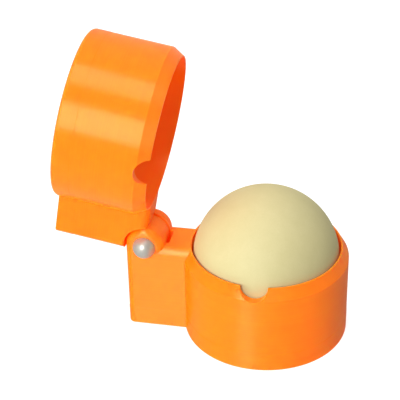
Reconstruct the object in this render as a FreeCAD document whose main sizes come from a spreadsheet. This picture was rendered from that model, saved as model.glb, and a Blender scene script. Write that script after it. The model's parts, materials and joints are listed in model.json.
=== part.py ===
"""Hinged two-shell holder for a table tennis ball, printed in plastic, with its ball.

Frame: millimetres, +Z up.  The origin is the centre of the lower cup's flat bottom.
The hinge lies on the -X side with its pin along Y, and the thumb notches face -Y.
The lid is drawn about its own pin centre, closed, and turned open by its Placement.
"""
import FreeCAD, Part
import math
import os
import Sketcher

os.makedirs("parts", exist_ok=True)
doc = FreeCAD.newDocument("BallHolder")

# ---------------------------------------------------------------- driving dimensions
SIZES = [
    # the ball
    ("ball_diameter", 40.0),
    ("ball_wall", 0.45),
    ("ball_settle", 0.2),          # the ball rests this far below its seat's centre
    # the two shells
    ("seat_clearance", 0.25),      # radial gap between the ball and its seat
    ("wall_thickness", 2.25),      # round the seat, below the rim chamfer
    ("floor_thickness", 1.25),     # plastic under the lowest point of the seat
    ("cup_straight_wall", 4.0),    # from the seat's hemisphere up to the cup's lip
    ("lid_straight_wall", 3.3),
    ("lip_width", 0.5),            # flat ring left between the seat and the rim chamfer
    ("chamfer_height", 3.0),
    ("closing_gap", 0.2),          # between the two lips when the lid is shut
    ("notch_radius", 3.6),
    # the hinge
    ("hinge_reach", 9.75),         # from the shells' outside to the pin's axis
    ("hinge_width", 12.9),
    ("hinge_offset", 1.05),        # the hinge's middle is this far in front of the shells' middle
    ("ear_radius", 5.4),
    ("knuckle_radius", 5.0),
    ("knuckle_width", 5.0),
    ("knuckle_gap", 0.3),          # on each side of the knuckle
    ("pocket_gap", 0.8),           # past the ears' radius, in the fork's slot
    ("ear_gap", 0.4),              # round the ears, in the lid's arm
    ("arm_overhang", 2.3),         # the lid's arm reaches this far past the pin
    ("edge_round", 1.9),
    ("lid_end_round", 1.2),        # round the edge of the lid's closed end
    ("arm_tip_round", 1.4),        # on the corner of the arm that is farthest from the lip
    ("open_angle", 80.0),
    # the rivet and its washer
    ("shank_diameter", 3.2),
    ("pin_clearance", 0.05),       # radial, in every bore the shank passes
    ("head_diameter", 6.2),
    ("head_height", 2.9),
    ("tail_diameter", 4.8),
    ("tail_height", 1.3),
    ("washer_diameter", 6.8),
    ("washer_thickness", 0.8),
]

sheet = doc.addObject("Spreadsheet::Sheet", "Sizes")
for row, (alias, size) in enumerate(SIZES, start=1):
    sheet.set(f"A{row}", alias)
    sheet.set(f"B{row}", str(size))
    sheet.setAlias(f"B{row}", alias)
doc.recompute()

# Lengths worked out from the sheet, as expressions that every feature shares.
BALL_RADIUS = "Sizes.ball_diameter / 2"
SEAT_RADIUS = f"({BALL_RADIUS} + Sizes.seat_clearance)"
SEAT_CENTRE = f"(Sizes.floor_thickness + {SEAT_RADIUS})"
LIP_RADIUS = f"({SEAT_RADIUS} + Sizes.lip_width)"
OUTER_RADIUS = f"({SEAT_RADIUS} + Sizes.wall_thickness)"
CUP_HEIGHT = f"({SEAT_CENTRE} + Sizes.cup_straight_wall)"
LID_HEIGHT = f"({SEAT_CENTRE} + Sizes.lid_straight_wall)"
HINGE_DISTANCE = f"({OUTER_RADIUS} + Sizes.hinge_reach)"
FRONT_FACE = "(-Sizes.hinge_offset - Sizes.hinge_width / 2)"
BACK_FACE = "(-Sizes.hinge_offset + Sizes.hinge_width / 2)"
THROUGH = "(3 * Sizes.hinge_width)"
PIN_HEIGHT = f"({CUP_HEIGHT} + Sizes.closing_gap / 2)"
BORE_RADIUS = "(Sizes.shank_diameter / 2 + Sizes.pin_clearance)"
SLOT_WIDTH = "(Sizes.knuckle_width + 2 * Sizes.knuckle_gap)"


def number(expression):
    """The present value of an expression on the sheet."""
    found = sheet.evalExpression(expression)
    return float(getattr(found, "Value", found))


# ---------------------------------------------------------------- modelling helpers
def new_body(label):
    body = doc.addObject("PartDesign::Body", label)
    body.Label = label
    return body


def new_sketch(body, name, role="XZ_Plane", centre=("0", "0"), ahead="0"):
    """A sketch on one of the body's own origin planes, its origin moved to centre.

    ahead moves it along the plane's normal, which for the XZ plane points to -Y.
    """
    sketch = body.newObject("Sketcher::SketchObject", name)
    plane = next(item for item in body.Origin.OriginFeatures if item.Role == role)
    sketch.AttachmentSupport = [(plane, "")]
    sketch.MapMode = "FlatFace"
    for axis, expression in zip("xyz", (*centre, ahead)):
        sketch.setExpression(f"AttachmentOffset.Base.{axis}", expression)
    return sketch


def pin_down(sketch, geometry, end, horizontal, vertical):
    """Tie one point of the sketch to its origin by two lengths from the sheet."""
    for kind, expression in (("DistanceX", horizontal), ("DistanceY", vertical)):
        index = sketch.addConstraint(
            Sketcher.Constraint(kind, -1, 1, geometry, end, number(expression)))
        sketch.setExpression(f"Constraints[{index}]", expression)


def draw_outline(sketch, corners, arcs=None):
    """A closed outline through the corners, given as pairs of expressions.

    arcs maps a corner's index to (centre, sense): the stretch that leaves that corner
    is then an arc about the centre, turning "ccw" or "cw" to the next corner.
    """
    arcs = arcs or {}
    points = [FreeCAD.Vector(number(x), number(y), 0) for x, y in corners]
    count = len(points)
    ends = []
    for index, point in enumerate(points):
        following = points[(index + 1) % count]
        if index not in arcs:
            sketch.addGeometry(Part.LineSegment(point, following), False)
            ends.append((1, 2))
            continue
        (centre_x, centre_y), sense = arcs[index]
        centre = FreeCAD.Vector(number(centre_x), number(centre_y), 0)
        first, last = (point, following) if sense == "ccw" else (following, point)
        angles = [math.atan2(end.y - centre.y, end.x - centre.x) for end in (first, last)]
        if angles[1] <= angles[0]:
            angles[1] += 2 * math.pi
        circle = Part.Circle(centre, FreeCAD.Vector(0, 0, 1), (point - centre).Length)
        sketch.addGeometry(Part.ArcOfCircle(circle, *angles), False)
        ends.append((1, 2) if sense == "ccw" else (2, 1))
    for index, (_, end) in enumerate(ends):
        after = (index + 1) % count
        sketch.addConstraint(
            Sketcher.Constraint("Coincident", index, end, after, ends[after][0]))
    for index, (x, y) in enumerate(corners):
        pin_down(sketch, index, ends[index][0], x, y)
    for index, ((_, centre_y), _) in arcs.items():
        held = sketch.addConstraint(
            Sketcher.Constraint("DistanceY", -1, 1, index, 3, number(centre_y)))
        sketch.setExpression(f"Constraints[{held}]", centre_y)


def draw_circle(sketch, centre, radius):
    place = FreeCAD.Vector(number(centre[0]), number(centre[1]), 0)
    circle = Part.Circle(place, FreeCAD.Vector(0, 0, 1), number(radius))
    geometry = sketch.addGeometry(circle, False)
    pin_down(sketch, geometry, 3, *centre)
    index = sketch.addConstraint(Sketcher.Constraint("Radius", geometry, number(radius)))
    sketch.setExpression(f"Constraints[{index}]", radius)


def extrude(body, kind, name, sketch, length):
    """A Pad or Pocket of the sketch, half to each side of its plane."""
    feature = body.newObject(f"PartDesign::{kind}", name)
    feature.Profile = sketch
    feature.SideType = "Symmetric"
    feature.setExpression("Length", length)
    doc.recompute()
    return feature


def turn(body, kind, name, sketch):
    """A full Revolution or Groove of the sketch about its own vertical axis."""
    feature = body.newObject(f"PartDesign::{kind}", name)
    feature.Profile = sketch
    feature.ReferenceAxis = (sketch, ["V_Axis"])
    feature.Angle = 360
    doc.recompute()
    return feature


def round_edges(body, name, radius, wanted):
    """A Fillet on the edges of the body's last feature that wanted(edge) picks."""
    base = body.Tip
    picked = [f"Edge{index}" for index, edge in enumerate(base.Shape.Edges, start=1)
              if wanted(edge)]
    feature = body.newObject("PartDesign::Fillet", name)
    feature.Base = (base, picked)
    feature.setExpression("Radius", radius)
    doc.recompute()
    return feature


def lies_between(edge, lows, highs):
    """Whether an edge's whole box is inside the box from lows to highs."""
    slack = 1e-4
    box = edge.BoundBox
    found_low = (box.XMin, box.YMin, box.ZMin)
    found_high = (box.XMax, box.YMax, box.ZMax)
    return (all(a >= b - slack for a, b in zip(found_low, lows))
            and all(a <= b + slack for a, b in zip(found_high, highs)))


def side_edges(x_low, x_high, z_low, z_high):
    """A test for edges that lie in the front or the back face of the hinge."""
    sides = (number(FRONT_FACE), number(BACK_FACE))

    def wanted(edge):
        return any(lies_between(edge, (x_low, y, z_low), (x_high, y, z_high)) for y in sides)
    return wanted


def cut_notch(body, name, centre):
    """The half-round thumb notch in the rim, on the front (-Y) side only."""
    sketch = new_sketch(body, f"{name}_outline")
    draw_circle(sketch, centre, "Sizes.notch_radius")
    before = body.Tip.Shape
    feature = body.newObject("PartDesign::Pocket", name)
    feature.Profile = sketch
    feature.setExpression("Length", f"{OUTER_RADIUS} + Sizes.wall_thickness")
    feature.Reversed = True
    doc.recompute()
    removed = before.cut(feature.Shape)
    if removed.Volume == 0 or removed.BoundBox.YMax > 0:
        raise RuntimeError(f"{body.Label}: {name} is not cut through the front wall")


def add_shell(body, lip_z, sign, height, centre_x="0", end_round=None):
    """Add a shell's outer form, then cut its seat: a hemisphere and a straight wall.

    sign is 1 where the shell's lip is its top and -1 where the lip is its bottom.
    end_round, where given, is the rounding of the closed end's edge.
    """
    end_z = f"({lip_z} - {sign} * {height})"
    chamfer_z = f"({lip_z} - {sign} * Sizes.chamfer_height)"
    outside = new_sketch(body, "shell_section", centre=(centre_x, "0"))
    end_corner, arcs = [(OUTER_RADIUS, end_z)], {}
    if end_round:
        inner_x = f"({OUTER_RADIUS} - {end_round})"
        inner_z = f"({end_z} + {sign} * {end_round})"
        end_corner = [(inner_x, end_z), (OUTER_RADIUS, inner_z)]
        arcs = {1: ((inner_x, inner_z), "ccw" if sign > 0 else "cw")}
    draw_outline(outside, [("0", end_z), *end_corner, (OUTER_RADIUS, chamfer_z),
                           (LIP_RADIUS, lip_z), ("0", lip_z)], arcs)
    turn(body, "Revolution", "shell", outside)
    seat_z = f"({lip_z} - {sign} * ({height} - Sizes.floor_thickness - {SEAT_RADIUS}))"
    pole_z = f"({seat_z} - {sign} * {SEAT_RADIUS})"
    past_lip = f"({lip_z} + {sign} * Sizes.closing_gap)"
    seat = new_sketch(body, "seat_section", centre=(centre_x, "0"))
    draw_outline(
        seat,
        [("0", pole_z), (SEAT_RADIUS, seat_z), (SEAT_RADIUS, past_lip), ("0", past_lip)],
        {0: (("0", seat_z), "ccw" if sign > 0 else "cw")})
    before = body.Tip.Shape.Volume
    groove = turn(body, "Groove", "seat", seat)
    if groove.Shape.Volume >= before:
        raise RuntimeError(f"{body.Label}: the seat cut nothing")


# ---------------------------------------------------------------- the lower cup
def make_lower_cup():
    """One print: hinge block with two ears, cup with its seat, fork slot, pin bore."""
    body = new_body("lower_cup")
    pin_x = f"-{HINGE_DISTANCE}"
    left = f"({pin_x} - Sizes.ear_radius)"
    ear_foot = f"({pin_x} + sqrt(Sizes.ear_radius ^ 2 - ({PIN_HEIGHT} - {CUP_HEIGHT}) ^ 2))"

    block = new_sketch(body, "block_outline", ahead="Sizes.hinge_offset")
    draw_outline(
        block,
        [(left, "0"), (left, PIN_HEIGHT), (ear_foot, CUP_HEIGHT), ("0", CUP_HEIGHT), ("0", "0")],
        {1: ((pin_x, PIN_HEIGHT), "cw")})
    extrude(body, "Pad", "hinge_block", block, "Sizes.hinge_width")
    ear_top = number(f"{PIN_HEIGHT} + Sizes.ear_radius")
    left_x = number(left)
    outline = side_edges(left_x, 0, number(CUP_HEIGHT), ear_top)
    corner = side_edges(left_x, left_x, 0, ear_top)
    round_edges(body, "block_rounding", "Sizes.edge_round",
                lambda edge: outline(edge) or corner(edge))

    add_shell(body, CUP_HEIGHT, 1, CUP_HEIGHT)

    slot_radius = "(Sizes.ear_radius + Sizes.pocket_gap)"
    slot_top = f"({PIN_HEIGHT} + 2 * Sizes.ear_radius)"
    slot_left = f"({left} - Sizes.pocket_gap)"
    slot = new_sketch(body, "slot_outline", ahead="Sizes.hinge_offset")
    draw_outline(
        slot,
        [(pin_x, f"{PIN_HEIGHT} - {slot_radius}"), (f"{pin_x} + {slot_radius}", PIN_HEIGHT),
         (f"{pin_x} + {slot_radius}", slot_top), (slot_left, slot_top),
         (slot_left, f"{PIN_HEIGHT} - {slot_radius}")],
        {0: ((pin_x, PIN_HEIGHT), "ccw")})
    extrude(body, "Pocket", "fork_slot", slot, SLOT_WIDTH)

    bore = new_sketch(body, "bore_outline")
    draw_circle(bore, (pin_x, PIN_HEIGHT), BORE_RADIUS)
    extrude(body, "Pocket", "pin_bore", bore, THROUGH)

    cut_notch(body, "thumb_notch", ("0", CUP_HEIGHT))
    return body


# ---------------------------------------------------------------- the lid
def make_hinged_lid():
    """One print, drawn shut about the pin's centre: arm, shell, seat, ear room, knuckle."""
    body = new_body("hinged_lid")
    lip_z = "(Sizes.closing_gap / 2)"
    end_z = f"({lip_z} + {LID_HEIGHT})"
    arm_end = "-Sizes.arm_overhang"

    arm = new_sketch(body, "arm_outline", ahead="Sizes.hinge_offset")
    draw_outline(arm, [(arm_end, lip_z), (HINGE_DISTANCE, lip_z),
                       (HINGE_DISTANCE, end_z), (arm_end, end_z)])
    extrude(body, "Pad", "hinge_arm", arm, "Sizes.hinge_width")
    end_x = number(arm_end)
    far_x = number(HINGE_DISTANCE)
    underside = side_edges(end_x, far_x, number(lip_z), number(lip_z))
    corner = side_edges(end_x, end_x, number(lip_z), number(end_z))
    round_edges(body, "arm_rounding", "Sizes.edge_round",
                lambda edge: underside(edge) or corner(edge))

    add_shell(body, lip_z, -1, LID_HEIGHT, HINGE_DISTANCE, end_round="Sizes.lid_end_round")
    tip = new_sketch(body, "arm_tip_outline")
    tip_in = f"({arm_end} + Sizes.arm_tip_round)"
    tip_down = f"({end_z} - Sizes.arm_tip_round)"
    draw_outline(tip, [(arm_end, tip_down), (tip_in, end_z), (arm_end, end_z)],
                 {0: ((tip_in, tip_down), "cw")})
    extrude(body, "Pocket", "arm_tip_rounding", tip, THROUGH)

    ear_room = "(Sizes.ear_radius + Sizes.ear_gap)"
    room = new_sketch(body, "ear_room_outline")
    draw_circle(room, ("0", "0"), ear_room)
    extrude(body, "Pocket", "ear_room", room, THROUGH)

    knuckle = new_sketch(body, "knuckle_outline", ahead="Sizes.hinge_offset")
    draw_circle(knuckle, ("0", "0"), "Sizes.knuckle_radius")
    extrude(body, "Pad", "knuckle", knuckle, "Sizes.knuckle_width")
    web = new_sketch(body, "web_outline", ahead="Sizes.hinge_offset")
    draw_outline(web, [(arm_end, lip_z), (ear_room, lip_z), (ear_room, ear_room),
                       (arm_end, ear_room)])
    extrude(body, "Pad", "knuckle_web", web, "Sizes.knuckle_width")

    bore = new_sketch(body, "bore_outline")
    draw_circle(bore, ("0", "0"), BORE_RADIUS)
    extrude(body, "Pocket", "pin_bore", bore, THROUGH)

    cut_notch(body, "thumb_notch", (HINGE_DISTANCE, lip_z))
    place_on_pin(body)
    opening_axis = FreeCAD.Vector(0, -1, 0)
    body.Placement.Rotation = FreeCAD.Rotation(opening_axis, number("Sizes.open_angle"))
    body.setExpression("Placement.Rotation.Angle", "Sizes.open_angle * 1 deg")
    return body


def place_on_pin(body):
    """Move a body that is drawn about the pin's centre to where the pin is."""
    body.setExpression("Placement.Base.x", f"-{HINGE_DISTANCE}")
    body.setExpression("Placement.Base.z", PIN_HEIGHT)


# ---------------------------------------------------------------- the rivet and its washer
def make_hinge_rivet():
    """Domed head on the front ear, shank through the hinge, formed tail at the back."""
    body = new_body("hinge_rivet")
    head_radius = "(Sizes.head_diameter / 2)"
    dome_radius = f"(({head_radius} ^ 2 + Sizes.head_height ^ 2) / (2 * Sizes.head_height))"
    dome_top = f"({FRONT_FACE} - Sizes.head_height)"
    dome_centre = f"({dome_top} + {dome_radius})"
    shank = "(Sizes.shank_diameter / 2)"
    tail = "(Sizes.tail_diameter / 2)"
    tail_start = f"({BACK_FACE} + Sizes.washer_thickness)"
    tail_end = f"({tail_start} + Sizes.tail_height)"
    section = new_sketch(body, "rivet_section", role="XY_Plane")
    draw_outline(
        section,
        [("0", dome_top), (head_radius, FRONT_FACE), (shank, FRONT_FACE),
         (shank, tail_start), (tail, tail_start), (tail, tail_end), ("0", tail_end)],
        {0: (("0", dome_centre), "ccw")})
    turn(body, "Revolution", "rivet", section)
    end_y = number(tail_end)
    reach = number(tail)
    round_edges(body, "tail_rounding", "Sizes.tail_height / 2",
                lambda edge: lies_between(edge, (-reach, end_y, -reach), (reach, end_y, reach)))
    place_on_pin(body)
    return body


def make_rivet_washer():
    body = new_body("rivet_washer")
    outer = f"({BACK_FACE} + Sizes.washer_thickness)"
    section = new_sketch(body, "washer_section", role="XY_Plane")
    draw_outline(section, [(BORE_RADIUS, BACK_FACE), ("Sizes.washer_diameter / 2", BACK_FACE),
                           ("Sizes.washer_diameter / 2", outer), (BORE_RADIUS, outer)])
    turn(body, "Revolution", "washer", section)
    place_on_pin(body)
    return body


# ---------------------------------------------------------------- the ball
def make_ball_half(label, sign):
    """Half of the hollow ball; sign is 1 for the upper half and -1 for the lower."""
    body = new_body(label)
    inside = f"({BALL_RADIUS} - Sizes.ball_wall)"
    outward, inward = ("ccw", "cw") if sign > 0 else ("cw", "ccw")
    section = new_sketch(body, "half_section")
    draw_outline(
        section,
        [(BALL_RADIUS, "0"), ("0", f"{sign} * {BALL_RADIUS}"), ("0", f"{sign} * {inside}"),
         (inside, "0")],
        {0: (("0", "0"), outward), 2: (("0", "0"), inward)})
    turn(body, "Revolution", "half_shell", section)
    body.setExpression("Placement.Base.z", f"{SEAT_CENTRE} - Sizes.ball_settle")
    return body


# ---------------------------------------------------------------- build, check, write
pieces = [
    make_lower_cup(),
    make_hinged_lid(),
    make_hinge_rivet(),
    make_rivet_washer(),
    make_ball_half("ball_lower_half", -1),
    make_ball_half("ball_upper_half", 1),
]
doc.recompute()

for item in doc.Objects:
    if {"Invalid", "Error"} & set(item.State):
        raise RuntimeError(f"{item.Label} failed: {item.State}")
for piece in pieces:
    shape = piece.Shape
    if shape.isNull() or not shape.isValid() or len(shape.Solids) != 1:
        raise RuntimeError(f"{piece.Label} is not one valid solid")
    box = shape.optimalBoundingBox()
    print(f"{piece.Label}: {shape.Volume:.1f} mm3, "
          f"x {box.XMin:.2f}..{box.XMax:.2f}, y {box.YMin:.2f}..{box.YMax:.2f}, "
          f"z {box.ZMin:.2f}..{box.ZMax:.2f}")
    shape.exportStep(f"parts/{piece.Label}.step")
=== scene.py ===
# %% [markdown]
# # A printed ball holder and its ball, dressed for the camera
# The object is a little clam-shell box for one table tennis ball. A cup and a hinged lid are printed
# in orange plastic, one steel rivet pins them together, and the pale yellow ball sits in the cup.
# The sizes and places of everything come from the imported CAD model, which is loaded first and never
# moved. Each cell after that builds one piece or one finish and prints what it made.

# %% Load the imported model
import json
import math

import bmesh
import bpy
from mathutils import Matrix, Vector


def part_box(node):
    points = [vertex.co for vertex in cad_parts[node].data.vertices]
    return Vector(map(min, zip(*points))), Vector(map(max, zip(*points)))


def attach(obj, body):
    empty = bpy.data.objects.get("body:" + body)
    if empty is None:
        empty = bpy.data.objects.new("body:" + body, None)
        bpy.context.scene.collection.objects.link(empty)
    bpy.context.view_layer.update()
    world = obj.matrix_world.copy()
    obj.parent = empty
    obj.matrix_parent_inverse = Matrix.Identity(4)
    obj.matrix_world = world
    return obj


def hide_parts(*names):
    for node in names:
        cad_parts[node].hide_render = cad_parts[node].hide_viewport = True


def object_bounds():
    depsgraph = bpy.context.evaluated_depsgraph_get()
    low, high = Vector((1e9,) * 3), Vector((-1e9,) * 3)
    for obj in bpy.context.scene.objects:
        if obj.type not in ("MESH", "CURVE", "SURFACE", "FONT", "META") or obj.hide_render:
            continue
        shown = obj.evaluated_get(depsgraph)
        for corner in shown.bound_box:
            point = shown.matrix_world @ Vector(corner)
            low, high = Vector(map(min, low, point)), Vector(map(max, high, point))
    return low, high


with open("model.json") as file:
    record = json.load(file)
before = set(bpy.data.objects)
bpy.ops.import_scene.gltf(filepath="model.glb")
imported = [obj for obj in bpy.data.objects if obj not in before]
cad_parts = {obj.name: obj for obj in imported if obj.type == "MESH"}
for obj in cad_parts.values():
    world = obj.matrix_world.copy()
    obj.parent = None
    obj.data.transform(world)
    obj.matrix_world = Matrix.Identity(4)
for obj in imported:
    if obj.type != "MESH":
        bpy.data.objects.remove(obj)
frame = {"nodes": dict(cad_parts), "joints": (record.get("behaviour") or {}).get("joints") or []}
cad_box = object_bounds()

MM = 0.001
print("CAD nodes:", sorted(frame["nodes"]))
print("CAD box in mm:", [[round(x / MM, 2) for x in corner] for corner in cad_box])

# %% [markdown]
# ## Places that everything else uses
# The ball gives the middle of the cup's seat. The hinge pin gives the line that the lid turns about,
# and the lid was drawn shut and then opened, so the hinge's own range says how far it stands open.
# Both shells were printed with their closed end on the build plate. That makes the cup's layers
# level, while the lid's layers stand almost upright now that the lid is open.

# %% Ball, hinge and printing directions
ball_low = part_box("ball_lower_half")[0]
ball_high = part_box("ball_upper_half")[1]
ball_centre = (ball_low + ball_high) / 2
ball_radius = (ball_high.y - ball_low.y) / 2

hinge = next(joint for joint in frame["joints"] if joint["name"] == "lid_hinge")
pin_centre = Vector(hinge["pos_m"])
open_angle = math.radians(-hinge["range_deg"][0])
lid_turn = Matrix.Rotation(open_angle, 3, Vector(hinge["axis"]))

CUP_UP = Vector((0, 0, 1))
LID_UP = lid_turn @ Vector((0, 0, -1))
cup_axis_point = Vector((ball_centre.x, ball_centre.y, 0))
lid_axis_point = pin_centre + lid_turn @ (cup_axis_point - pin_centre)
print("ball centre and radius in mm:", [round(x / MM, 2) for x in ball_centre], round(ball_radius / MM, 2))
print("the lid stands open by", round(math.degrees(open_angle)), "degrees; it was printed towards",
      [round(x, 3) for x in LID_UP])

# %% [markdown]
# ## A short way to write node trees
# Materials and Geometry Nodes are both trees of nodes. Building them in a script gets long, because
# each node has to be made, set up and wired. The first helper does the three in one call: a value goes
# straight onto an input, and an output of another node is linked to it. The others stand on it.

# %% Helpers: one node, made and wired in one call
def make_node(tree, kind, inputs=None, **properties):
    """A new node with its properties set and its inputs given a value or linked to an output."""
    node = tree.nodes.new(kind)
    for name, value in properties.items():
        setattr(node, name, value)
    for name, value in (inputs or {}).items():
        if isinstance(value, bpy.types.NodeSocket):
            tree.links.new(value, node.inputs[name])
        else:
            node.inputs[name].default_value = value
    return node


def calculate(tree, operation, first, second=0.0, third=0.0):
    """The result of a Math node on one, two or three numbers or outputs."""
    node = make_node(tree, "ShaderNodeMath", {0: first, 1: second, 2: third}, operation=operation)
    return node.outputs[0]


def combine(tree, operation, first, second):
    """The vector result of a Vector Math node."""
    return make_node(tree, "ShaderNodeVectorMath", {0: first, 1: second}, operation=operation).outputs[0]


def dot(tree, first, second):
    """The dot product of two vectors, as a number."""
    node = make_node(tree, "ShaderNodeVectorMath", {0: first, 1: second}, operation="DOT_PRODUCT")
    return node.outputs["Value"]


def scaled(tree, vector, factor):
    """A vector made that many times as long."""
    node = make_node(tree, "ShaderNodeVectorMath", {0: vector, "Scale": factor}, operation="SCALE")
    return node.outputs[0]


def mix_colours(tree, factor, first, second):
    """The colour between two colours, at that share of the way from the first to the second."""
    first_colour, second_colour, result = 6, 7, 2  # a Mix node's places for colours
    node = make_node(tree, "ShaderNodeMix",
                     {"Factor": factor, first_colour: (*first, 1), second_colour: (*second, 1)},
                     data_type="RGBA")
    return node.outputs[result]


def noise(tree, place, scale, detail):
    """Smooth noise from 0 to 1, with that many lumps to the metre."""
    node = make_node(tree, "ShaderNodeTexNoise", {"Vector": place, "Scale": scale, "Detail": detail})
    return node.outputs["Fac"]


def new_material(name):
    """An empty node material with a Principled shader, returned with its tree and its shader."""
    material = bpy.data.materials.new(name)
    material.use_nodes = True
    tree = material.node_tree
    tree.nodes.clear()
    shader = make_node(tree, "ShaderNodeBsdfPrincipled")
    make_node(tree, "ShaderNodeOutputMaterial", {"Surface": shader.outputs[0]})
    return material, tree, shader


print("node helpers:", [helper.__name__ for helper in
                        (make_node, calculate, combine, dot, scaled, mix_colours, noise, new_material)])

# %% [markdown]
# ## The orange plastic
# A printed wall is a stack of plastic threads, each a fraction of a millimetre thick. Light that falls
# on it smears across the threads and stays sharp along them, which is why a printed cylinder shows
# a clean bright stripe along its length. An anisotropic shader does that if its tangent follows the
# threads: the tangent is the cross product of the printing direction and the surface's normal. Level
# faces have no threads around them, and show the slanting lines of the last layer's filling instead.
# Light also sinks in and spreads, and a faint painted red glow, given off by the plastic itself though it is
# no lamp, keeps its shadows and hollows red.

# %% Printed plastic
LAYER_HEIGHT = 0.2 * MM
FILL_LINE_WIDTH = 0.45 * MM
DEEP_ORANGE = (0.94, 0.168, 0.003)
PALE_ORANGE = (0.98, 0.218, 0.006)
PAINTED_RED_GLOW = (1.0, 0.06, 0.0)
CLOUDS_PER_METRE = 110.0
GRAINS_PER_METRE = 2500.0
LAYER_SHARE = 0.35
GRAIN_SHARE = 0.35
NEARLY_LEVEL = 0.97
FULLY_LEVEL = 0.995
RELIEF_DEPTH = 0.02 * MM
QUARTER_TURN = 0.25


def printed_plastic(name, up, plate):
    """Orange plastic printed towards up from the build plate, which is that far along up."""
    material, tree, shader = new_material(name)
    place = make_node(tree, "ShaderNodeTexCoord")
    point, normal = place.outputs["Object"], place.outputs["Normal"]
    height = calculate(tree, "SUBTRACT", dot(tree, point, up), plate)
    layer = calculate(tree, "FLOOR", calculate(tree, "DIVIDE", height, LAYER_HEIGHT))
    batch = make_node(tree, "ShaderNodeTexWhiteNoise", {"W": layer}, noise_dimensions="1D")
    cloud = noise(tree, point, CLOUDS_PER_METRE, detail=3.0)
    blend = calculate(tree, "MULTIPLY_ADD", batch.outputs["Value"], LAYER_SHARE,
                      calculate(tree, "MULTIPLY", cloud, 1 - LAYER_SHARE))
    tree.links.new(mix_colours(tree, blend, DEEP_ORANGE, PALE_ORANGE), shader.inputs["Base Color"])

    facing = calculate(tree, "ABSOLUTE", dot(tree, normal, up))
    level = make_node(tree, "ShaderNodeMapRange",
                      {"Value": facing, "From Min": NEARLY_LEVEL, "From Max": FULLY_LEVEL}).outputs[0]
    slant = (up.orthogonal().normalized() + up.cross(up.orthogonal()).normalized()).normalized()
    across = calculate(tree, "DIVIDE", dot(tree, point, slant), FILL_LINE_WIDTH)
    wave = calculate(tree, "SINE", calculate(tree, "MULTIPLY", across, math.pi))
    ridge = calculate(tree, "ABSOLUTE", wave)
    grain = noise(tree, point, GRAINS_PER_METRE, detail=2.0)
    relief = calculate(tree, "MULTIPLY_ADD", ridge, level, calculate(tree, "MULTIPLY", grain, GRAIN_SHARE))
    bump = make_node(tree, "ShaderNodeBump", {"Height": relief, "Distance": RELIEF_DEPTH, "Strength": 0.6})
    tree.links.new(bump.outputs[0], shader.inputs["Normal"])

    thread = combine(tree, "CROSS_PRODUCT", up, normal)
    tangent = make_node(tree, "ShaderNodeVectorTransform", {"Vector": thread},
                        vector_type="VECTOR", convert_from="OBJECT", convert_to="WORLD")
    tree.links.new(tangent.outputs[0], shader.inputs["Tangent"])
    rough = make_node(tree, "ShaderNodeMapRange", {"Value": cloud, "To Min": 0.32, "To Max": 0.40})
    tree.links.new(rough.outputs[0], shader.inputs["Roughness"])
    shader.inputs["Anisotropic"].default_value = 0.95
    shader.inputs["Anisotropic Rotation"].default_value = QUARTER_TURN
    shader.inputs["IOR"].default_value = 1.47
    shader.inputs["Specular IOR Level"].default_value = 0.9
    shader.inputs["Specular Tint"].default_value = (1.0, 0.80, 0.40, 1)
    # painted light: a faint red glow of the plastic's own lifts its shadows and hollows
    shader.inputs["Emission Color"].default_value = (*PAINTED_RED_GLOW, 1)
    shader.inputs["Emission Strength"].default_value = 0.12
    shader.inputs["Subsurface Weight"].default_value = 0.8
    shader.inputs["Subsurface Radius"].default_value = (1.0, 0.18, 0.04)
    shader.inputs["Subsurface Scale"].default_value = 4.0 * MM
    return material


cup_plate = 0.0  # the frame's ground is the cup's own flat bottom
lid_plate = min(vertex.co.dot(LID_UP) for vertex in frame["nodes"]["hinged_lid"].data.vertices)
cup_plastic = printed_plastic("printed_plastic_cup", CUP_UP, cup_plate)
lid_plastic = printed_plastic("printed_plastic_lid", LID_UP, lid_plate)
print("plastic for the cup and the lid; the lid's build plate is at", round(lid_plate / MM, 2), "mm")

# %% [markdown]
# ## Steel
# The rivet's head is satin steel: it blurs the studio into soft greys, and it is set a little short of
# fully metallic, so that it takes some plain light as well. Real wire still has hairlines, which a fine
# bump gives, and duller patches, which noise in the roughness gives. The washer is cut from plain
# sheet, so it is fully metallic and its hairlines are deeper.

# %% Satin and plain steel
PATCHES_PER_METRE = 700.0
HAIRLINES_PER_METRE = (9000.0, 1500.0, 900.0)
POLISH_SPREAD = 0.4


def steel(name, colour, roughness, hairline_depth, metallic=1.0):
    """Bare metal with patches of uneven polish and fine hairlines."""
    material, tree, shader = new_material(name)
    place = make_node(tree, "ShaderNodeTexCoord").outputs["Object"]
    patches = noise(tree, place, PATCHES_PER_METRE, detail=4.0)
    rough = make_node(tree, "ShaderNodeMapRange", {"Value": patches,
                                                   "To Min": roughness * (1 - POLISH_SPREAD),
                                                   "To Max": roughness * (1 + POLISH_SPREAD)})
    tree.links.new(rough.outputs[0], shader.inputs["Roughness"])
    drawn_out = make_node(tree, "ShaderNodeMapping", {"Vector": place, "Scale": HAIRLINES_PER_METRE})
    hairlines = noise(tree, drawn_out.outputs[0], 1.0, detail=2.0)
    bump = make_node(tree, "ShaderNodeBump",
                     {"Height": hairlines, "Distance": hairline_depth, "Strength": 0.5})
    tree.links.new(bump.outputs[0], shader.inputs["Normal"])
    shader.inputs["Base Color"].default_value = (*colour, 1)
    shader.inputs["Metallic"].default_value = metallic
    return material


rivet_steel = steel("satin_steel", (0.47, 0.47, 0.42), roughness=0.45, hairline_depth=0.001 * MM,
                    metallic=0.6)
washer_steel = steel("plain_steel", (0.62, 0.62, 0.61), roughness=0.40, hairline_depth=0.004 * MM)
print("finishes:", rivet_steel.name, "and", washer_steel.name)

# %% [markdown]
# ## The ball's plastic
# The ball is matte, pale yellow and a little dusty. Three sizes of noise carry it: a wide one that
# drifts the colour, a middle one for smudges, and a fine one that gives the surface its tooth.

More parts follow.
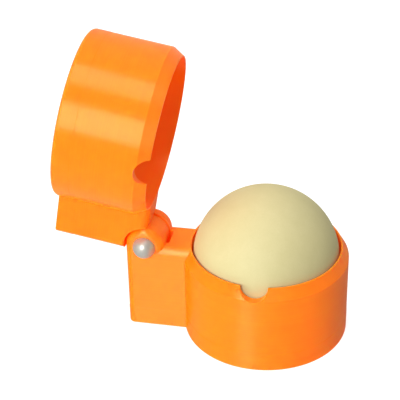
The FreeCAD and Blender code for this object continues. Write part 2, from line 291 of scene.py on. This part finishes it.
# %% Ball plastic
DULL_YELLOW = (0.42, 0.37, 0.165)
LIGHT_YELLOW = (0.52, 0.47, 0.245)
DRIFTS_PER_METRE = 60.0
SMUDGES_PER_METRE = 380.0
SPECKLES_PER_METRE = 2200.0
DRIFT_SHARE = 0.35
SMUDGE_SHARE = 0.35
SPECKLE_SHARE = 0.30
TOOTH_DEPTH = 0.03 * MM


def ball_plastic():
    """Matte pale yellow plastic with a soft mottle, fine speckles and a dry, toothed surface."""
    material, tree, shader = new_material("ball_plastic")
    place = make_node(tree, "ShaderNodeTexCoord").outputs["Object"]
    drift = noise(tree, place, DRIFTS_PER_METRE, detail=2.0)
    smudge = noise(tree, place, SMUDGES_PER_METRE, detail=3.0)
    speckle = noise(tree, place, SPECKLES_PER_METRE, detail=2.0)
    mottle = calculate(tree, "MULTIPLY_ADD", smudge, SMUDGE_SHARE,
                       calculate(tree, "MULTIPLY", drift, DRIFT_SHARE))
    mottle = calculate(tree, "MULTIPLY_ADD", speckle, SPECKLE_SHARE, mottle)
    tree.links.new(mix_colours(tree, mottle, DULL_YELLOW, LIGHT_YELLOW), shader.inputs["Base Color"])
    tooth = calculate(tree, "ADD", speckle, smudge)
    bump = make_node(tree, "ShaderNodeBump", {"Height": tooth, "Distance": TOOTH_DEPTH, "Strength": 0.7})
    tree.links.new(bump.outputs[0], shader.inputs["Normal"])
    rough = make_node(tree, "ShaderNodeMapRange", {"Value": mottle, "To Min": 0.55, "To Max": 0.70})
    tree.links.new(rough.outputs[0], shader.inputs["Roughness"])
    return material


ball_finish = ball_plastic()
print("finish:", ball_finish.name)

# %% [markdown]
# ## Turned pieces
# A rivet is headed from round wire, a washer is stamped round, and each half of the ball is pressed
# over a round former. All of them are one outline carried once round an axis, so one helper makes
# them all. An outline is a list of points, each a distance from the axis and a distance along it, with
# its round stretches worked out by the arc helper. Where the outline touches the axis the pole closes
# in a single point, so the meshes are watertight.

# %% Helpers: an arc in an outline, and the outline turned round an axis
SHARP_EDGE = math.radians(20)


def arc(centre, radius, start, end, steps):
    """Points on a round stretch of an outline, from one angle to another in degrees."""
    angles = [math.radians(start + (end - start) * step / steps) for step in range(steps + 1)]
    return [(centre[0] + radius * math.cos(angle), centre[1] + radius * math.sin(angle))
            for angle in angles]


def mark_sharp_edges(mesh):
    """Shade every face smooth, and keep a crisp line only where two faces meet at an angle."""
    for face in mesh.faces:
        face.smooth = True
    for edge in mesh.edges:
        edge.smooth = len(edge.link_faces) == 2 and edge.calc_face_angle() < SHARP_EDGE


def turned(name, outline, centre, axis, material, steps=128):
    """A closed piece made by carrying the outline of (from axis, along axis) points round the axis."""
    mesh = bmesh.new()
    start = axis.orthogonal().normalized()
    rings = []
    for out, along in outline:
        count = steps if out > 0 else 1
        rings.append([mesh.verts.new(centre + axis * along
                                     + Matrix.Rotation(math.tau * step / steps, 3, axis) @ start * out)
                      for step in range(count)])
    if outline[0] == outline[-1]:
        for vertex in rings.pop():
            mesh.verts.remove(vertex)
        rings.append(rings[0])
    for near, far in zip(rings, rings[1:]):
        for step in range(steps):
            after = (step + 1) % steps
            corners = [near[step % len(near)], near[after % len(near)],
                       far[after % len(far)], far[step % len(far)]]
            mesh.faces.new(dict.fromkeys(corners))
    bmesh.ops.recalc_face_normals(mesh, faces=mesh.faces)
    mark_sharp_edges(mesh)
    data = bpy.data.meshes.new(name)
    mesh.to_mesh(data)
    mesh.free()
    data.materials.append(material)
    piece = bpy.data.objects.new(name, data)
    bpy.context.scene.collection.objects.link(piece)
    print(name, "has", len(data.polygons), "faces")
    return piece


print("edges that turn by more than", round(math.degrees(SHARP_EDGE)), "degrees stay crisp")

# %% [markdown]
# ## The rivet and its washer
# The head is a tall dome. Its radius comes from how wide and how high the head is. The far end was
# pushed back over the washer when the hinge was put together, which leaves a rolled rim round
# a shallow dimple. The shank runs through both ears and the lid's knuckle.

# %% Rivet and washer
Y_AXIS = Vector((0, 1, 0))
SHANK_RADIUS = 1.6 * MM
SHANK_CLEARANCE = 0.05 * MM
WASHER_EDGE = 0.12 * MM
DIMPLE_DEPTH = 0.45 * MM
DIMPLE_STEP = 15
HEAD_RIM_SHARE = 0.98
ROLLS_TO_DIMPLE = 1.6
DOME_STEPS = 24
RIM_STEPS = 16
EDGE_TURN = 60
EDGE_STEPS = 3


def from_pin(point):
    """How far a point is from the hinge pin's middle line."""
    return math.hypot(point.x - pin_centre.x, point.z - pin_centre.z)


rivet_low, rivet_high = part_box("hinge_rivet")
washer_low, washer_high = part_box("rivet_washer")
head_radius = (rivet_high.x - rivet_low.x) / 2
head_base = max(vertex.co.y for vertex in frame["nodes"]["hinge_rivet"].data.vertices
                if vertex.co.y < 0 and from_pin(vertex.co) > HEAD_RIM_SHARE * head_radius)
head_height = head_base - rivet_low.y
dome_radius = (head_radius ** 2 + head_height ** 2) / (2 * head_height)
dome_edge = math.degrees(math.asin(head_radius / dome_radius))
dome = arc((0, rivet_low.y + dome_radius), dome_radius, -90, -90 + dome_edge, DOME_STEPS)
dome[0] = (0, rivet_low.y)

TAIL_RADIUS = 2.4 * MM
tail_base = washer_high.y
tail_end = rivet_high.y
roll = (tail_end - tail_base) / 2
rim = arc((TAIL_RADIUS - roll, tail_base + roll), roll, -90, 90, RIM_STEPS)
dimple_width = TAIL_RADIUS - ROLLS_TO_DIMPLE * roll
dimple = [(dimple_width * math.cos(math.radians(angle)),
           tail_end - DIMPLE_DEPTH * math.sin(math.radians(angle)))
          for angle in range(DIMPLE_STEP, 90, DIMPLE_STEP)]
rivet_outline = [*dome, (SHANK_RADIUS, head_base), (SHANK_RADIUS, tail_base), *rim, *dimple,
                 (0, tail_end - DIMPLE_DEPTH)]
pin_start = Vector((pin_centre.x, 0, pin_centre.z))
rivet = turned("rivet", rivet_outline, pin_start, Y_AXIS, rivet_steel)

washer_radius = (washer_high.x - washer_low.x) / 2
hole_radius = SHANK_RADIUS + SHANK_CLEARANCE
edge_out = washer_radius - WASHER_EDGE
washer_outline = [(hole_radius, washer_low.y), (edge_out, washer_low.y),
                  *arc((edge_out, washer_low.y + WASHER_EDGE), WASHER_EDGE, -EDGE_TURN, 0, EDGE_STEPS),
                  *arc((edge_out, washer_high.y - WASHER_EDGE), WASHER_EDGE, 0, EDGE_TURN, EDGE_STEPS),
                  (edge_out, washer_high.y), (hole_radius, washer_high.y), (hole_radius, washer_low.y)]
washer = turned("washer", washer_outline, pin_start, Y_AXIS, washer_steel)

print("rivet head in mm: radius", round(head_radius / MM, 2), "height", round(head_height / MM, 2))
for piece, node_name, slot_name in ((rivet, "hinge_rivet", "rivet_steel"),
                                    (washer, "rivet_washer", "washer_steel")):
    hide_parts(node_name)
    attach(piece, "cup")

# %% [markdown]
# ## The ball's two half shells
# The ball is hollow: two thin half shells welded edge to edge. A tiny bevel on each edge leaves the
# hair-thin line that shows where they meet. The seam lies level, a few millimetres below the cup's rim.

# %% Half shells
BALL_WALL = 0.45 * MM
SEAM_BEVEL = 0.06 * MM
OUTSIDE_STEPS = 48
INSIDE_STEPS = 32
ROUND_STEPS = 160


def half_shell(name, direction):
    """One half of the ball, from its outer pole round the welded edge to its inner pole."""
    bevel_angle = math.degrees(math.asin(SEAM_BEVEL / ball_radius))
    outside = arc((0, 0), ball_radius, 90, bevel_angle, OUTSIDE_STEPS)
    inside = arc((0, 0), ball_radius - BALL_WALL, 0, 90, INSIDE_STEPS)
    outside[0] = (0, ball_radius)
    inside[-1] = (0, ball_radius - BALL_WALL)
    outline = [*outside, (ball_radius - SEAM_BEVEL, 0), *inside]
    return turned(name, outline, ball_centre, direction, ball_finish, steps=ROUND_STEPS)


for name, node_name, direction in (("ball_top_shell", "ball_upper_half", CUP_UP),
                                   ("ball_bottom_shell", "ball_lower_half", -CUP_UP)):
    shell = half_shell(name, direction)
    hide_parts(node_name)
    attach(shell, "ball")

# %% [markdown]
# ## Real layers in the walls
# The CAD meshes of the cup and the lid are copied, their doubled points are merged and their flat
# faces are joined up. The copies are then sliced at every layer's joint and at every layer's middle,
# like a loaf of bread. The hollows that hold the ball are left smooth. Each point on an outside wall
# is marked, so that the next step knows where layers show.

# %% Slice the walls at every layer
SAME_POINT = 0.0005 * MM
SAME_PLANE = math.radians(0.02)
SEAT_MARGIN = 0.4 * MM
FLOOR_MARGIN = 0.5 * MM


def sliced_copy(node_name, up, plate, axis_point):
    """A clean copy of a CAD shell with its outer walls cut at each layer's joint and crest."""
    mesh = bmesh.new()
    mesh.from_mesh(frame["nodes"][node_name].data)
    bmesh.ops.remove_doubles(mesh, verts=mesh.verts, dist=SAME_POINT)
    bmesh.ops.dissolve_limit(mesh, angle_limit=SAME_PLANE, verts=mesh.verts, edges=mesh.edges)
    seat_radius = ball_radius + SEAT_MARGIN

    def in_seat(point):
        """Whether a point is in the hollow that holds the ball."""
        away = point - axis_point
        return (away - away.dot(up) * up).length < seat_radius and point.dot(up) > plate + FLOOR_MARGIN

    walls = [face for face in mesh.faces if not in_seat(face.calc_center_median())]
    top = max(vertex.co.dot(up) for vertex in mesh.verts)
    step = LAYER_HEIGHT / 2
    for index in range(1, int((top - plate) / step) + 1):
        cut = plate + index * step
        parts = set(walls)
        for face in walls:
            parts.update(face.verts)
            parts.update(face.edges)
        result = bmesh.ops.bisect_plane(mesh, geom=list(parts), dist=SAME_POINT,
                                        plane_co=up * cut, plane_no=up)
        walls = [piece for piece in result["geom"] if isinstance(piece, bmesh.types.BMFace)
                 and piece.calc_center_median().dot(up) > cut]
    wall_mark = mesh.verts.layers.float.new("wall")
    for vertex in mesh.verts:
        vertex[wall_mark] = float(not all(in_seat(f.calc_center_median()) for f in vertex.link_faces))
    mark_sharp_edges(mesh)
    data = bpy.data.meshes.new(node_name + "_sliced")
    mesh.to_mesh(data)
    mesh.free()
    return data


cup_walls = sliced_copy("lower_cup", CUP_UP, cup_plate, cup_axis_point)
lid_walls = sliced_copy("hinged_lid", LID_UP, lid_plate, lid_axis_point)
print("sliced walls:", len(cup_walls.polygons), "faces on the cup and", len(lid_walls.polygons), "on the lid")

# %% [markdown]
# ## Round beads on every layer
# A Geometry Nodes tree now works on the sliced walls. At each joint between two layers it presses the
# wall in by a few hundredths of a millimetre, and it sets each layer's crest in by a hair, a chance
# amount that differs from layer to layer. It also sets the whole wall in slightly above the solid
# floor layers, which leaves one faint line round the object, as on many real prints. The tree moves
# points only sideways and inwards, so the object never grows past the CAD model.

# %% A tree that gives each layer its round bead
def bead_tree():
    """Geometry Nodes: press in the joint between layers, and let each layer differ a little."""
    tree = bpy.data.node_groups.new("print_layers", "GeometryNodeTree")
    tree.interface.new_socket("Geometry", in_out="OUTPUT", socket_type="NodeSocketGeometry")
    for name, kind in {"Geometry": "Geometry", "Up": "Vector", "Plate": "Float",
                       "Layer Height": "Float", "Joint Depth": "Float", "Wander": "Float",
                       "Floor Height": "Float", "Floor Step": "Float",
                       "Seed": "Int", "Plastic": "Material"}.items():
        tree.interface.new_socket(name, in_out="INPUT", socket_type="NodeSocket" + kind)
    given = make_node(tree, "NodeGroupInput").outputs
    position = make_node(tree, "GeometryNodeInputPosition").outputs[0]
    normal = make_node(tree, "GeometryNodeInputNormal").outputs[0]
    height = calculate(tree, "SUBTRACT", dot(tree, position, given["Up"]), given["Plate"])
    layers = calculate(tree, "DIVIDE", height, given["Layer Height"])
    part = calculate(tree, "FRACT", layers)
    crest = calculate(tree, "SUBTRACT", 1.0,
                      calculate(tree, "ABSOLUTE", calculate(tree, "MULTIPLY_ADD", part, 2.0, -1.0)))
    joint = calculate(tree, "MULTIPLY", calculate(tree, "SUBTRACT", 1.0, crest), given["Joint Depth"])
    chance = make_node(tree, "FunctionNodeRandomValue",
                       {"ID": calculate(tree, "FLOOR", layers), "Seed": given["Seed"]}, data_type="FLOAT")
    wander = calculate(tree, "MULTIPLY",
                       calculate(tree, "MULTIPLY", chance.outputs[1], crest), given["Wander"])
    above = calculate(tree, "GREATER_THAN", height, given["Floor Height"])
    step = calculate(tree, "MULTIPLY", above, given["Floor Step"])
    inward = calculate(tree, "ADD", calculate(tree, "ADD", joint, wander), step)
    wall = make_node(tree, "GeometryNodeInputNamedAttribute", {"Name": "wall"}, data_type="FLOAT")
    inward = calculate(tree, "MULTIPLY", calculate(tree, "MULTIPLY", inward, wall.outputs[0]), -1.0)
    along_up = scaled(tree, given["Up"], dot(tree, normal, given["Up"]))
    sideways = combine(tree, "SUBTRACT", normal, along_up)
    offset = scaled(tree, sideways, inward)
    moved = make_node(tree, "GeometryNodeSetPosition", {"Geometry": given["Geometry"], "Offset": offset})
    real = make_node(tree, "GeometryNodeRealizeInstances", {"Geometry": moved.outputs[0]})
    painted = make_node(tree, "GeometryNodeSetMaterial",
                        {"Geometry": real.outputs[0], "Material": given["Plastic"]})
    make_node(tree, "NodeGroupOutput", {"Geometry": painted.outputs[0]})
    return tree


def run_tree(name, mesh, tree, values):
    """The tree's result on the mesh, as a plain mesh object with no modifier."""
    piece = bpy.data.objects.new(name, mesh)
    bpy.context.scene.collection.objects.link(piece)
    modifier = piece.modifiers.new("nodes", "NODES")
    modifier.node_group = tree
    for socket in tree.interface.items_tree:
        if socket.in_out == "INPUT" and socket.name in values:
            modifier[socket.identifier] = values[socket.name]
    evaluated = piece.evaluated_get(bpy.context.evaluated_depsgraph_get())
    result = bpy.data.meshes.new_from_object(evaluated)
    piece.modifiers.clear()
    piece.data = result
    return piece


print_layers = bead_tree()
bead_sizes = {"Layer Height": LAYER_HEIGHT, "Joint Depth": 0.035 * MM, "Wander": 0.012 * MM,
              "Floor Height": 5.0 * MM, "Floor Step": 0.05 * MM, "Seed": 7}
printed_cup = run_tree("printed_cup", cup_walls, print_layers,
                       {**bead_sizes, "Up": CUP_UP, "Plate": cup_plate, "Plastic": cup_plastic})
printed_lid = run_tree("printed_lid", lid_walls, print_layers,
                       {**bead_sizes, "Up": LID_UP, "Plate": lid_plate, "Plastic": lid_plastic})
for piece, node_name, body in ((printed_cup, "lower_cup", "cup"), (printed_lid, "hinged_lid", "lid")):
    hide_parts(node_name)
    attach(piece, body)
    piece.data.calc_loop_triangles()
    print(piece.name, "has", len(piece.data.loop_triangles), "triangles")

# %% [markdown]
# ## The table
# The object stands on a wide pale sheet that runs far past the picture. It glows, so that it comes out
# white like a lit studio table. Mirror images don't show it, and it sends neither light nor shadow
# onto the object.

# %% Table
FLOOR_HALF_WIDTH = 3.0


def make_floor(half_width):
    """A flat white sheet under the object."""
    mesh = bpy.data.meshes.new("floor")
    corners = [(-half_width, -half_width, 0), (half_width, -half_width, 0),
               (half_width, half_width, 0), (-half_width, half_width, 0)]
    mesh.from_pydata(corners, [], [(0, 1, 2, 3)])
    floor = bpy.data.objects.new("floor", mesh)
    bpy.context.scene.collection.objects.link(floor)
    material, _, shader = new_material("pale_floor")
    shader.inputs["Base Color"].default_value = (0.35, 0.35, 0.35, 1)
    shader.inputs["Roughness"].default_value = 0.9
    shader.inputs["Specular IOR Level"].default_value = 0.1
    shader.inputs["Emission Color"].default_value = (1, 1, 1, 1)
    shader.inputs["Emission Strength"].default_value = 0.75
    mesh.materials.append(material)
    floor.visible_diffuse = False
    floor.visible_shadow = False
    floor.visible_glossy = False


make_floor(FLOOR_HALF_WIDTH)
print("table:", 2 * FLOOR_HALF_WIDTH, "m square")

# %% [markdown]
# ## The camera
# The camera stands in front of the object, a little to the right of it and above it. A long lens from
# a third of a metre keeps the sides nearly parallel. The slight roll is the way it was held.

# %% Camera
VIEW_AZIMUTH = math.radians(12.0)
VIEW_ELEVATION = math.radians(32.0)
CAMERA_ROLL = math.radians(-1.25)
CAMERA_DISTANCE = 0.3544
LENS = 118.8
SENSOR_WIDTH = 36
AIM_SHIFT = Vector((-0.84, 0, -4.18)) * MM
aim = (cad_box[0] + cad_box[1]) / 2 + AIM_SHIFT

towards_camera = Vector((math.sin(VIEW_AZIMUTH) * math.cos(VIEW_ELEVATION),
                         -math.cos(VIEW_AZIMUTH) * math.cos(VIEW_ELEVATION),
                         math.sin(VIEW_ELEVATION)))
right = Vector((math.cos(VIEW_AZIMUTH), math.sin(VIEW_AZIMUTH), 0))
over = towards_camera.cross(right)
turned_right = right * math.cos(CAMERA_ROLL) + over * math.sin(CAMERA_ROLL)
turned_over = over * math.cos(CAMERA_ROLL) - right * math.sin(CAMERA_ROLL)
camera_data = bpy.data.cameras.new("camera")
camera_data.lens = LENS
camera_data.sensor_width = SENSOR_WIDTH
camera_data.clip_start = 0.01
camera = bpy.data.objects.new("camera", camera_data)
axes = Matrix((turned_right, turned_over, towards_camera)).transposed().to_4x4()
camera.matrix_world = Matrix.Translation(aim + towards_camera * CAMERA_DISTANCE) @ axes
bpy.context.scene.collection.objects.link(camera)
bpy.context.scene.camera = camera
print("camera at", [round(x / MM) for x in camera.matrix_world.translation], "mm")

# %% [markdown]
# ## The lights
# Two panels do the work that shows: a narrow upright one in front and to the left draws the bright
# stripe down the cup, and one overhead lights the top. The others only fill the shadows, one of them
# from below like light thrown back by the table, and they are kept out of mirror images.

# %% Lights
LIGHT_DISTANCE = 0.6
WORLD_STRENGTH = 0.39
# name, azimuth, elevation, degrees wide, degrees high, power, and whether mirror images show it
LIGHT_PANELS = (
    ("key_panel", -15, 26, 18, 32, 3.1, True),
    ("top_panel", 0, 80, 30, 26, 1.5, True),
    ("left_fill", -56, 12, 24, 24, 1.8, False),
    ("back_left_fill", -140, 25, 30, 30, 2.1, False),
    ("back_fill", 170, 55, 36, 26, 0.8, False),
    ("right_fill", 100, 45, 30, 30, 0.4, False),
    ("table_fill", -15, -60, 60, 50, 3.4, False),
)


def softbox(name, azimuth, elevation, wide, high, power):
    """A light panel that faces the object and looks that many degrees wide and high from it."""
    az, el = math.radians(azimuth), math.radians(elevation)
    away = Vector((math.sin(az) * math.cos(el), -math.cos(az) * math.cos(el), math.sin(el)))
    data = bpy.data.lights.new(name, "AREA")
    data.shape = "RECTANGLE"
    data.size = 2 * LIGHT_DISTANCE * math.tan(math.radians(wide / 2))
    data.size_y = 2 * LIGHT_DISTANCE * math.tan(math.radians(high / 2))
    data.energy = power
    light = bpy.data.objects.new(name, data)
    light.matrix_world = (Matrix.Translation(aim + away * LIGHT_DISTANCE)
                          @ away.to_track_quat("Z", "Y").to_matrix().to_4x4())
    light.visible_camera = False
    bpy.context.scene.collection.objects.link(light)
    return light


for *panel, mirrored in LIGHT_PANELS:
    softbox(*panel).visible_glossy = mirrored

world = bpy.data.worlds.new("studio")
world.use_nodes = True
world.node_tree.nodes["Background"].inputs["Color"].default_value = (1, 1, 1, 1)
world.node_tree.nodes["Background"].inputs["Strength"].default_value = WORLD_STRENGTH
bpy.context.scene.world = world
bpy.context.scene.view_settings.view_transform = "Standard"
